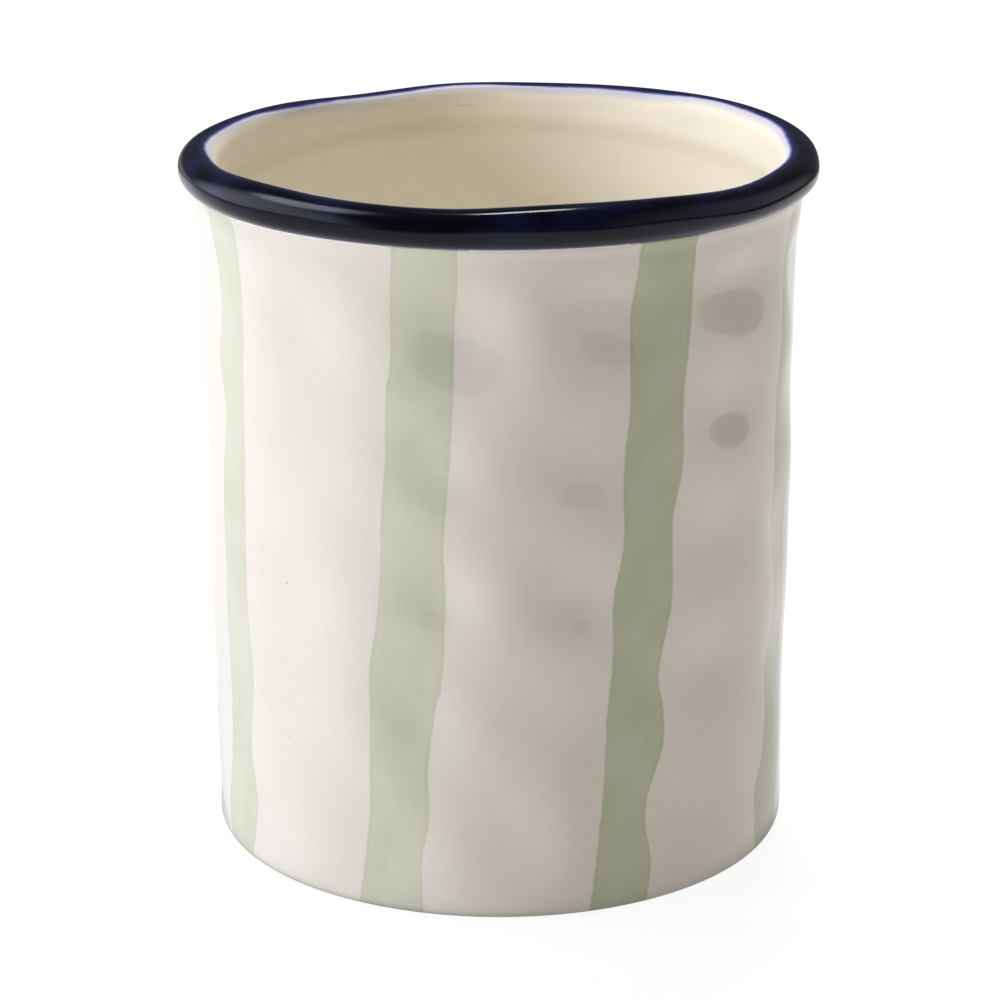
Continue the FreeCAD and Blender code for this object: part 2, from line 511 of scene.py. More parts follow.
@dataclass
class GlazeEffects:
    """Node groups that the finishes share, each built once. Scales are in repeats to the metre."""

    cloud_scale: float = 15.0
    cloud_span: Span = (0.35, 0.7)
    grain_scale: float = 420.0
    grain_change: Span = (0.992, 1.008)
    middle_span: Span = (0.3, 0.7)
    speck_scale: float = 85.0
    speck_span: Span = (0.012, 0.03)
    chosen_span: Span = (0.78, 0.8)
    speck_strength: float = 0.55
    speck_pit: float = 0.8
    gloss_scale: float = 60.0
    gloss_change: Span = (0.05, 0.09)
    ripple_scale: float = 190.0
    fine_scale: float = 800.0
    fine_share: float = 0.15
    edge_scale: float = 230.0
    edge_span: Span = (-0.5, 0.5)
    patch_scale: float = 70.0
    patch_share: float = 0.78
    streak_share: float = 0.22
    load_span: Span = (0.32, 0.68)
    skin: Tree = field(init=False)
    edge: Tree = field(init=False)
    strokes: Tree = field(init=False)

    def __post_init__(self) -> None:
        """Build the groups."""
        self.skin = self.build_skin()
        self.edge = self.build_edge()
        self.strokes = self.build_strokes()

    def build_skin(self) -> Tree:
        """Fired glaze: clouded colour, iron specks, uneven gloss and the fine ripple of its surface.

        Returns:
            The group's tree.
        """
        inputs = {"Vector": "Vector", "Color": "Color", "Cloud Color": "Color", "Speck Color": "Color"}
        outputs = {"Color": "Color", "Roughness": "Float", "Height": "Float"}
        bench, given, result = new_group("FiredGlaze", inputs, outputs)
        place = given.outputs["Vector"]
        cloud = bench.ramp(bench.noise(place, self.cloud_scale, detail=1.5), *self.cloud_span)
        colour = bench.blend(cloud, given.outputs["Color"], given.outputs["Cloud Color"])
        grain = bench.noise(place, self.grain_scale, detail=3.0)
        grain = bench.ramp(grain, *self.middle_span, *self.grain_change)
        colour = bench.blend(1.0, colour, grain, "MULTIPLY")
        cells = bench.add("TexVoronoi", {"Vector": place, "Scale": self.speck_scale})
        dot = bench.ramp(cells.outputs["Distance"], *self.speck_span, 1.0, 0.0)
        chosen = bench.add("SeparateColor", {0: cells.outputs["Color"]}).outputs[0]
        chosen = bench.ramp(chosen, *self.chosen_span)
        speck = bench.math("MULTIPLY", bench.math("MULTIPLY", dot, chosen), self.speck_strength)
        colour = bench.blend(speck, colour, given.outputs["Speck Color"])
        gloss = bench.noise(place, self.gloss_scale, detail=4.0)
        gloss = bench.ramp(gloss, *self.middle_span, *self.gloss_change)
        ripple = bench.noise(place, self.ripple_scale)
        fine = bench.math("MULTIPLY", bench.noise(place, self.fine_scale), self.fine_share)
        pit = bench.math("MULTIPLY", speck, self.speck_pit)
        height = bench.math("SUBTRACT", bench.math("ADD", ripple, fine), pit)
        for name, socket in (("Color", colour), ("Roughness", gloss), ("Height", height)):
            bench.tree.links.new(socket, result.inputs[name])
        return bench.tree

    def build_edge(self) -> Tree:
        """Edge of a coat of glaze: a mask that wanders a little and ends softly.

        Returns:
            The group's tree.
        """
        inputs = {"Vector": "Vector", "Distance": "Float", "Wander": "Float", "Softness": "Float"}
        bench, given, result = new_group("GlazeEdge", inputs, {"Mask": "Float"})
        drift = bench.noise(given.outputs["Vector"], self.edge_scale, detail=3.0)
        drift = bench.math("MULTIPLY", bench.math("SUBTRACT", drift, 0.5), given.outputs["Wander"])
        distance = bench.math("ADD", given.outputs["Distance"], drift)
        share = bench.math("DIVIDE", distance, given.outputs["Softness"])
        bench.tree.links.new(bench.ramp(share, *self.edge_span), result.inputs["Mask"])
        return bench.tree

    def build_strokes(self) -> Tree:
        """Brush marks: streaks along a stroke, with thicker and thinner patches.

        Returns:
            The group's tree.
        """
        inputs = {"Vector": "Vector", "Patches": "Vector"}
        bench, given, result = new_group("BrushMarks", inputs, {"Load": "Float"})
        streak = bench.noise(given.outputs["Vector"], 1.0, detail=4.0)
        patch = bench.noise(given.outputs["Patches"], self.patch_scale, detail=5.0)
        streak = bench.math("MULTIPLY", streak, self.streak_share)
        load = bench.math("ADD", streak, bench.math("MULTIPLY", patch, self.patch_share))
        bench.tree.links.new(bench.ramp(load, *self.load_span), result.inputs["Load"])
        return bench.tree


@dataclass(frozen=True)
class WhiteGlaze:
    """Warm white glaze of the wall and the cream glaze of the inside, wiped off the standing ring."""

    outside: Colour = (0.80, 0.775, 0.735, 1.0)
    outside_cloud: Colour = (0.785, 0.765, 0.715, 1.0)
    # Cream of the inside: the glaze's own cream, partly painted light, made paler for the light that reaches
    # too little into the well
    inside: Colour = (0.92, 0.87, 0.755, 1.0)
    speck: Colour = (0.24, 0.19, 0.15, 1.0)
    clay: Colour = (0.52, 0.43, 0.33, 1.0)
    pale_clay: Colour = (0.62, 0.53, 0.42, 1.0)
    clay_scale: float = 900.0
    clay_gloss: float = 0.75
    # Pale bluish line just under the lip: partly navy bleeding into the white, partly a painted highlight
    # where the crease catches light
    bleed_and_highlight: Colour = (0.86, 0.865, 0.88, 1.0)
    # Tan of the band along the seam inside: pooled glaze, partly painted shade along the ledge under the lip
    pooled_and_shade: Colour = (0.75, 0.66, 0.49, 1.0)
    pool_scale: float = 22.0
    # Millimetres either side of the seam where glaze pooled and shade is painted, and the strength there
    pool_span: Span = (0.0, 4.0)
    pool_strength: float = 0.7
    # Wander and softness of the edges under the lip and round the foot, in millimetres
    bleed_and_highlight_edge: Span = (0.5, 0.7)
    wiped_edge: Span = (0.6, 0.35)
    satin: float = 0.36
    ripple: float = 0.008 * MM

    def colour(self, bench: Bench, effects: GlazeEffects, place: Socket, inside: object) -> Node:
        """Fired glaze that turns from white outside to cream inside.

        Args:
            bench: Bench of the material's tree.
            effects: Shared node groups.
            place: Object coordinates.
            inside: Number or socket, 1 inside the crock.

        Returns:
            The group node, with Color, Roughness and Height outputs.
        """
        # Tan band along the seam inside: pooled glaze and painted shade along the ledge
        off_line = bench.math("ABSOLUTE", bench.mark(Mark.POOL))
        line = bench.ramp(off_line, *self.pool_span, self.pool_strength, 0.0)
        line = bench.math("MULTIPLY", line, bench.noise(place, self.pool_scale))
        cream = bench.blend(line, self.inside, self.pooled_and_shade)
        main = bench.blend(inside, self.outside, cream)
        cloud = bench.blend(inside, self.outside_cloud, cream)
        inputs = {"Vector": place, "Color": main, "Cloud Color": cloud, "Speck Color": self.speck}
        return bench.add("Group", inputs, node_tree=effects.skin)

    def material(self, effects: GlazeEffects) -> Material:
        """Material of the wall and the floor of the well.

        Args:
            effects: Shared node groups.

        Returns:
            The material.
        """
        made = new_material("white_glaze_fired")
        bench = Bench(made.node_tree)
        place = bench.add("TexCoord").outputs["Object"]
        glaze = self.colour(bench, effects, place, bench.mark(Mark.INSIDE))
        # Pale line just under the crease: partly navy bleed, partly painted highlight
        bleed_and_highlight = group_mask(bench, effects.edge, place, bench.mark(Mark.UNDER_LIP), *self.bleed_and_highlight_edge)
        colour = bench.blend(bleed_and_highlight, self.bleed_and_highlight, glaze.outputs["Color"])
        glazed = group_mask(bench, effects.edge, place, bench.mark(Mark.ABOVE_FOOT), *self.wiped_edge)
        clay = bench.blend(bench.noise(place, self.clay_scale, detail=4.0), self.clay, self.pale_clay)
        colour = bench.blend(glazed, clay, colour)
        gloss = bench.between(bench.mark(Mark.INSIDE), glaze.outputs["Roughness"], self.satin)
        gloss = bench.between(glazed, self.clay_gloss, gloss)
        glossy_surface(bench, colour, gloss, glaze.outputs["Height"], self.ripple)
        return made


@dataclass(frozen=True)
class SageGlaze:
    """Brushed sage green under the clear glaze, which leaves a white margin at the edge of each piece."""

    thick: Colour = (0.47, 0.53, 0.375, 1.0)
    thin: Colour = (0.665, 0.69, 0.585, 1.0)
    streaks: float = 0.35
    # Streaks to the millimetre across a stroke, and to the metre along it
    streak_across: float = 1.1
    streak_along: float = 40.0
    pooling: float = 0.14
    # Millimetres into a stroke between which its pooled edge ends
    pool_span: Span = (0.3, 1.3)
    # Wander and softness of a stroke's edge, in millimetres
    stroke_edge: Span = (0.7, 0.55)

    def material(self, effects: GlazeEffects, white: WhiteGlaze) -> Material:
        """Material of the stripes.

        Args:
            effects: Shared node groups.
            white: The glaze round the stripes.

        Returns:
            The material.
        """
        made = new_material("sage_glaze_brushed")
        bench = Bench(made.node_tree)
        place = bench.add("TexCoord").outputs["Object"]
        glaze = white.colour(bench, effects, place, 0.0)
        height = bench.add("SeparateXYZ", {0: place}).outputs["Z"]
        across = bench.math("MULTIPLY", bench.mark(Mark.ACROSS), self.streak_across)
        along = bench.add("CombineXYZ", {0: across, 2: bench.math("MULTIPLY", height, self.streak_along)})
        inputs = {"Vector": along.outputs[0], "Patches": place}
        load = bench.add("Group", inputs, node_tree=effects.strokes)
        uneven = bench.math("SUBTRACT", load.outputs["Load"], 0.5)
        amount = bench.math("ADD", bench.mark(Mark.LOAD_AND_PAINTED_LIGHT), bench.math("MULTIPLY", uneven, self.streaks))
        pool = bench.ramp(bench.mark(Mark.EDGE), *self.pool_span, self.pooling, 0.0)
        sage = bench.blend(bench.math("ADD", amount, pool), self.thin, self.thick)
        painted = group_mask(bench, effects.edge, place, bench.mark(Mark.EDGE), *self.stroke_edge)
        colour = bench.blend(painted, glaze.outputs["Color"], sage)
        glossy_surface(bench, colour, glaze.outputs["Roughness"], glaze.outputs["Height"], white.ripple)
        return made


@dataclass(frozen=True)
class NavyGlaze:
    """Deep navy glaze of the lip, which thins to blue and lavender at its edges over the cream."""

    deep: Colour = (0.0026, 0.0026, 0.007, 1.0)
    thin: Colour = (0.020, 0.023, 0.105, 1.0)
    fringe: Colour = (0.30, 0.30, 0.62, 1.0)
    halo: Colour = (0.60, 0.59, 0.67, 1.0)
    mirror: float = 0.22
    sheen: float = 0.07
    streak_scale: Spot = (60.0, 60.0, 400.0)
    streak_span: Span = (0.0, 0.6)
    streak_change: Span = (0.75, 1.0)
    # Millimetres over which the coat thickens from its inner edge and from the crease, and over which
    # the halo fades in before the inner edge
    inner_span: Span = (0.2, 2.6)
    outer_span: Span = (0.1, 3.2)
    halo_span: Span = (-2.6, -0.2)
    # Millimetres by which the blue fringe, and the pale rim that is partly a painted highlight, reach into
    # the navy
    fringe_reach: float = 0.35
    rim_reach: float = 0.15
    # Wander and softness of the edges, in millimetres
    fringe_edge: Span = (0.5, 0.8)
    rim_edge: Span = (0.4, 0.4)
    coat_edge: Span = (0.4, 0.5)

    def material(self, effects: GlazeEffects, white: WhiteGlaze) -> Material:
        """Material of the lip.

        Args:
            effects: Shared node groups.
            white: The glaze under the navy's edges.

        Returns:
            The material.
        """
        made = new_material("navy_glaze_rolled")
        bench = Bench(made.node_tree)
        place = bench.add("TexCoord").outputs["Object"]
        glaze = white.colour(bench, effects, place, 1.0)
        into = bench.mark(Mark.NAVY)
        crease = bench.mark(Mark.CREASE)
        stretched = bench.vector("MULTIPLY", place, self.streak_scale).outputs[0]
        load = bench.add("Group", {"Vector": stretched, "Patches": place}, node_tree=effects.strokes)
        streak = bench.ramp(load.outputs["Load"], *self.streak_span, *self.streak_change)
        inner, outer = bench.ramp(into, *self.inner_span), bench.ramp(crease, *self.outer_span)
        thickness = bench.math("MULTIPLY", bench.math("MULTIPLY", inner, outer), streak)
        navy = bench.blend(thickness, self.thin, self.deep)
        past_fringe = bench.math("SUBTRACT", into, self.fringe_reach)
        fringe = group_mask(bench, effects.edge, place, past_fringe, *self.fringe_edge)
        navy = bench.blend(fringe, self.fringe, navy)
        # Pale line at the crease on the lip's side: navy bleeding into the white, partly painted highlight
        past_rim = bench.math("SUBTRACT", crease, self.rim_reach)
        rim = group_mask(bench, effects.edge, place, past_rim, *self.rim_edge)
        navy = bench.blend(rim, white.bleed_and_highlight, navy)
        covered = group_mask(bench, effects.edge, place, into, *self.coat_edge)
        bare = bench.blend(bench.ramp(into, *self.halo_span), glaze.outputs["Color"], self.halo)
        colour = bench.blend(covered, bare, navy)
        sheen = bench.math("ADD", glaze.outputs["Roughness"], self.sheen)
        gloss = bench.between(covered, white.satin, sheen)
        glossy_surface(bench, colour, gloss, glaze.outputs["Height"], white.ripple, self.mirror)
        return made


def new_material(name: str) -> Material:
    """Material with an editable node tree."""
    made = bpy.data.materials.new(name)
    made.use_nodes = True
    return made


def group_mask(
    bench: Bench, tree: Tree, place: Socket, distance: Socket, wander: float, soft: float
) -> Socket:
    """Mask of a coat's edge.

    Args:
        bench: Bench of the material's tree.
        tree: The shared edge group.
        place: Object coordinates.
        distance: Socket with millimetres into the coat.
        wander: How far the edge wanders, in millimetres.
        soft: Width over which the coat ends, in millimetres.

    Returns:
        Socket that is 1 in the coat and 0 outside it.
    """
    inputs = {"Vector": place, "Distance": distance, "Wander": wander, "Softness": soft}
    return bench.add("Group", inputs, node_tree=tree).outputs["Mask"]


def glossy_surface(
    bench: Bench, colour: Socket, gloss: Socket, height: Socket, ripple: float, mirror: float = PLAIN_MIRROR
) -> None:
    """Shader of a fired glaze.

    Args:
        bench: Bench of the material's tree.
        colour: Socket with the colour.
        gloss: Socket with the roughness.
        height: Socket with the relief, from 0 to about 1.
        ripple: Depth of that relief, in metres.
        mirror: Strength of the mirrored light, PLAIN_MIRROR being that of plain glass.
    """
    relief = bench.add("Bump", {"Height": height, "Distance": ripple, "Strength": 1.0})
    inputs = {"Base Color": colour, "Roughness": gloss, "Normal": relief.outputs["Normal"]}
    shader = bench.add("BsdfPrincipled", {**inputs, "IOR": GLAZE_IOR, "Specular IOR Level": mirror})
    output = bench.add("OutputMaterial", {"Surface": shader.outputs[0]})
    output.is_active_output = True


def placed(name: str, mesh: Mesh, material: Material, nodes: tuple[str, ...]) -> Piece:
    """Object for a finished mesh, riding on the crock in place of CAD nodes.

    Args:
        name: Name of the piece.
        mesh: Its mesh, in the crock's frame.
        material: Its finish.
        nodes: Nodes that it stands for.

    Returns:
        The piece.
    """
    piece = bpy.data.objects.new(name, mesh)
    bpy.context.scene.collection.objects.link(piece)
    mesh.materials.append(material)
    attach(piece, "root")
    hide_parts(*nodes)
    LOG.info("%s: %d faces", name, len(mesh.polygons))
    return piece


@dataclass
class Wall:
    """Wall of the crock, dented outside and plain inside, from its standing ring to under the lip."""

    form: CrockForm

    def section(self) -> Section:
        """Closed section of the wall.

        Returns:
            (radius, height) corners, up the outside and down the inside.
        """
        form = self.form
        heel_middle = (float(form.inside(np.array(form.heel_round))) + form.heel_round, form.heel_round)
        down = form.inner_rows
        outside = list(zip(form.outside(form.rows), form.rows))
        inside = list(zip(form.inside(down), down))
        tongue = [(float(form.outside(np.array(form.lip_underside))) - form.fillet, form.lip_seat)]
        heel = arc(heel_middle, form.heel_round, 180.0, 270.0, form.heel_steps)[1:]
        return outside + tongue + inside + heel

    def build(self, material: Material) -> Piece:
        """Make the wall and dress it.

        Args:
            material: Its finish.

        Returns:
            The piece.
        """
        form = self.form
        mesh = lathe("wall_skin", self.section(), closed=True)
        bearing, radius, height = round_points_of(mesh)
        outer = radius > form.inside(height) + form.wall_thickness / 2
        above_seam = height - form.skirt_line(bearing)
        dented = radius + form.skin(bearing, height) - form.outside(height)
        round_bore = radius + form.out_of_round(bearing, height) + form.sunk(above_seam)
        set_points(mesh, bearing, np.where(outer, dented, round_bore), height)
        under_lip = np.where(outer, (form.lip_underside - height) / MM, FAR_BELOW_LIP)
        set_mark(mesh, Mark.INSIDE, ~outer)
        set_mark(mesh, Mark.UNDER_LIP, under_lip)
        set_mark(mesh, Mark.ABOVE_FOOT, (height - form.wiped_height) / MM)
        set_mark(mesh, Mark.POOL, above_seam / MM)
        return placed("crock_wall_skin", mesh, material, ("crock_wall",))


@dataclass
class WellFloor:
    """Floor of the well with its rounded corner, and the base's underside inside the standing ring."""

    form: CrockForm
    corner: float = 6.4 * MM
    sunk: float = 0.25 * MM
    unevenness: float = 0.12 * MM
    wave: float = 9.0 * MM
    long_wave: float = 30.0 * MM
    uneven_start: Span = (0.0, 8.0 * MM)
    uneven_end: Span = (50.0 * MM, 60.0 * MM)
    round_middle: float = 50.0 * MM
    inside_start: float = 1.0 * MM
    floor_steps: int = 24
    corner_steps: int = 14
    under_steps: int = 16
    round_steps: int = 180

    def section(self) -> Section:
        """Open section of the floor and the underside.

        Returns:
            (radius, height) corners from the middle of the floor to the middle of the underside.
        """
        form = self.form
        bore = float(form.inside(np.array(form.corner_head)))
        flat = bore - self.corner
        head = form.floor_top + self.corner
        floor = [(share * flat, form.floor_top) for share in np.linspace(0.0, 1.0, self.floor_steps)[:-1]]
        hollow = arc((flat, head), self.corner, 270.0, 360.0, self.corner_steps)
        back = [(bore + self.sunk, head), (bore + self.sunk, form.floor_low)]
        under = [(share * bore, form.floor_low) for share in np.linspace(1.0, 0.0, self.under_steps)]
        return floor + hollow + back + under

    def build(self, material: Material) -> Piece:
        """Make the floor and dress it.

        Args:
            material: Its finish.

        Returns:
            The piece.
        """
        form = self.form
        mesh = lathe("floor_skin", self.section(), closed=False, steps=self.round_steps)
        bearing, radius, height = round_points_of(mesh)
        sway = np.sin(radius / self.wave + 2 * np.sin(bearing))
        sway = sway * np.cos(bearing * 2 + radius / self.long_wave)
        fade = smooth_step(*self.uneven_start, radius) * (1 - smooth_step(*self.uneven_end, radius))
        lift = self.unevenness * sway * fade
        spread = form.out_of_round(bearing, height) * (radius > self.round_middle)
        set_points(mesh, bearing, radius + spread, height + lift)
        set_mark(mesh, Mark.INSIDE, height > form.floor_low + self.inside_start)
        set_mark(mesh, Mark.UNDER_LIP, np.full(len(radius), FAR_BELOW_LIP))
        set_mark(mesh, Mark.ABOVE_FOOT, (height - form.wiped_height) / MM)
        set_mark(mesh, Mark.POOL, (height - form.skirt_line(bearing)) / MM)
        return placed("well_floor", mesh, material, ("base_disc", "corner_coil"))


@dataclass
class RolledLip:
    """Coil rolled over the top of the wall, with a wavy crest and a skirt smeared down the inside."""

    form: CrockForm
    width: float = 9.0 * MM
    depth: float = 9.0 * MM
    # Heights of the crest at equal steps of bearing, as shares of the crest's wave
    crest_shares: tuple[float, ...] = (0.1, 0.8, 1.1, 0.75, 0.35, 0.3, -0.8, -0.1, -0.1,
                                       -0.2, -0.3, 0.4, -0.1, -0.3, 0.6, 0.3, -0.8, -0.45)
    first_crest: float = math.radians(90.0)
    crest_wave: float = 1.0 * MM
    lumps: float = 0.12 * MM
    lump_waves: tuple[int, int] = (7, 11)
    lump_turn: float = 1.0
    lump_fade: float = 0.7
    inner_square: float = 2.8
    coil_turns: Span = (-110.0, 180.0)
    navy_turn: float = math.radians(122.0)
    navy_back: float = math.radians(3.0)
    navy_wave: float = 0.35
    navy_waves: tuple[int, int] = (5, 13)
    navy_shift: float = 0.6
    navy_second_share: float = 0.6
    crease_turn: float = math.radians(-70.0)
    skirt_reach: float = 2.5 * MM
    skirt_limit: float = 2.2 * MM
    skirt_clear: float = 0.01 * MM
    hidden_depth: float = 1.0 * MM
    section_steps: int = 64
    skirt_steps: int = 30

    def section(self) -> Section:
        """Closed section of the coil and its skirt.

        Returns:
            (radius, height) corners round the coil, down the skirt and back up inside the wall.
        """
        form = self.form
        turns = np.radians(np.linspace(*self.coil_turns, self.section_steps))
        power = np.where(turns > math.pi / 2, self.inner_square, 2.0)
        reach = (np.abs(np.cos(turns)) ** power + np.abs(np.sin(turns)) ** power) ** (-1 / power)
        radii = form.mouth_bore + (1 + reach * np.cos(turns)) * self.width / 2
        heights = form.lip_underside + (1 + reach * np.sin(turns)) * self.depth / 2
        coil = list(zip(radii, heights))
        down = np.linspace(form.lip_seat, form.skirt_end, self.skirt_steps)[1:]
        skirt = [(form.mouth_bore, height) for height in down]
        hidden = form.mouth_bore + self.hidden_depth
        return coil + skirt + [(hidden, form.skirt_end), (hidden, form.lip_underside)]

    def build(self, material: Material) -> Piece:
        """Make the lip and dress it.

        Args:
            material: Its finish.

        Returns:
            The piece.
        """
        form = self.form
        mesh = lathe("lip_skin", self.section(), closed=True)
        bearing, radius, height = round_points_of(mesh)
        out = (radius - form.mouth_bore) / (self.width / 2) - 1
        up = (height - form.lip_underside) / (self.depth / 2) - 1
        turn = np.arctan2(up, out)
        skirt = (height < form.lip_seat - self.skirt_clear) & (radius < form.mouth_bore + self.skirt_limit)
        turn = np.where(skirt, math.pi + (form.lip_seat - height) / (self.depth / 2), turn)
        wave = self.crest_wave * closed_curve(self.crest_shares, bearing - self.first_crest)
        risen = form.lip_underside + (height - form.lip_underside) * (1 + wave / self.depth)
        seat = form.lip_underside + (form.lip_seat - form.lip_underside) * (1 + wave / self.depth)
        end = form.skirt_line(bearing) - self.skirt_reach
        fall = (form.lip_seat - height) / (form.lip_seat - form.skirt_end)
        height = np.where(skirt, seat - fall * (seat - end), risen)
        above_seam = height - form.skirt_line(bearing)
        feather = form.inside(height) - form.mouth_bore + form.sunk(-above_seam)
        first, second = self.lump_waves
        lump = np.sin(first * bearing + self.lump_turn) + np.sin(second * bearing + 2 * np.sin(turn))
        lump = self.lumps * lump * np.where(skirt, smooth_step(0.0, self.lump_fade, fall) - 1, np.cos(turn))
        spread = form.out_of_round(bearing, np.minimum(height, form.lip_seat))
        set_points(mesh, bearing, radius + np.where(skirt, feather, 0.0) + spread + lump, height)
        first, second = self.navy_waves
        sway = np.sin(first * bearing + self.navy_shift) + self.navy_second_share * np.sin(second * bearing)
        navy_end = self.navy_turn - self.navy_back * np.cos(bearing)
        set_mark(mesh, Mark.NAVY, (navy_end - turn) * self.depth / 2 / MM + self.navy_wave * sway)
        set_mark(mesh, Mark.POOL, above_seam / MM)
        set_mark(mesh, Mark.CREASE, (turn - self.crease_turn) * self.depth / 2 / MM)
        return placed("rolled_lip", mesh, material, ("lip_coil",))


@dataclass
class Stripe:
    """One brushed stripe: a thin coat that follows the dented wall and thins out into it."""

    form: CrockForm
    number: int
    left: Line
    right: Line
    # Brush load; on the two front strokes on the lamp-lit left it is also lowered as painted light
    load: float
    moved: float = 0.0
    margin: float = 2.6 * MM
    seat: float = 0.014 * MM
    coat: float = 0.15 * MM
    tuck: float = 0.4 * MM
    across_steps: int = 22

    def build(self, material: Material) -> Piece:
        """Make the stripe and dress it.

        Args:
            material: Its finish.

        Returns:
            The piece.
        """
        form = self.form
        rows = form.rows[form.rows > form.wiped_height]
        rows = np.append(rows, form.lip_underside + self.tuck)
        shape = bmesh.new()
        bmesh.ops.create_grid(shape, x_segments=self.across_steps, y_segments=len(rows) - 1, size=1.0)
        mesh = finished_mesh(f"stripe_coat_{self.number}", shape)
        points = points_of(mesh)
        across, along = (points[:, 0] + 1) / 2, (points[:, 1] + 1) / 2
        height = np.interp(along * (len(rows) - 1), np.arange(len(rows)), rows)
        left, right = (brushed_line(edge, height) + self.moved for edge in (self.left, self.right))
        place = left - self.margin + (right - left + 2 * self.margin) * across
        edge = np.minimum(place - left, right - place)
        bearing = place / (form.girth / TURN)
        lift = self.seat * (2 * smooth_step(0.0, self.margin, edge + self.margin) - 1)
        set_points(mesh, bearing, form.skin(bearing, height) + lift, height)
        set_mark(mesh, Mark.EDGE, edge / MM)
        set_mark(mesh, Mark.ACROSS, (place - (left + right) / 2) / MM)
        set_mark(mesh, Mark.LOAD_AND_PAINTED_LIGHT, np.full(len(place), self.load))
        nodes = (f"sage_stripe_{self.number}",)
        piece = placed(f"sage_stripe_coat_{self.number}", mesh, material, nodes)
        coat = piece.modifiers.new("coat", "SOLIDIFY")
        coat.thickness = self.coat
        coat.offset = -1.0
        return piece


@dataclass(frozen=True)
class SoftLamp:
    """Rectangular studio lamp with a diffuser."""

    name: str
    place: Spot
    aim: Spot
    size: Span
    power: float
    colour: Spot = (1.0, 1.0, 1.0)
    mirrored: bool = True

    def build(self) -> None:
        """Hang the lamp and aim it."""
        lamp = bpy.data.lights.new(self.name, "AREA")
        lamp.shape = "RECTANGLE"
        lamp.size, lamp.size_y = self.size
        lamp.energy = self.power
        lamp.color = self.colour
        holder = bpy.data.objects.new(self.name, lamp)
        bpy.context.scene.collection.objects.link(holder)
        holder.visible_glossy = self.mirrored
        point_at(holder, self.place, self.aim)


def point_at(holder: bpy.types.Object, place: Spot, target: Spot) -> None:
    """Put a lamp or camera at a place and point it at a target."""
    holder.location = place
    holder.rotation_euler = (Vector(target) - Vector(place)).to_track_quat("-Z", "Y").to_euler()


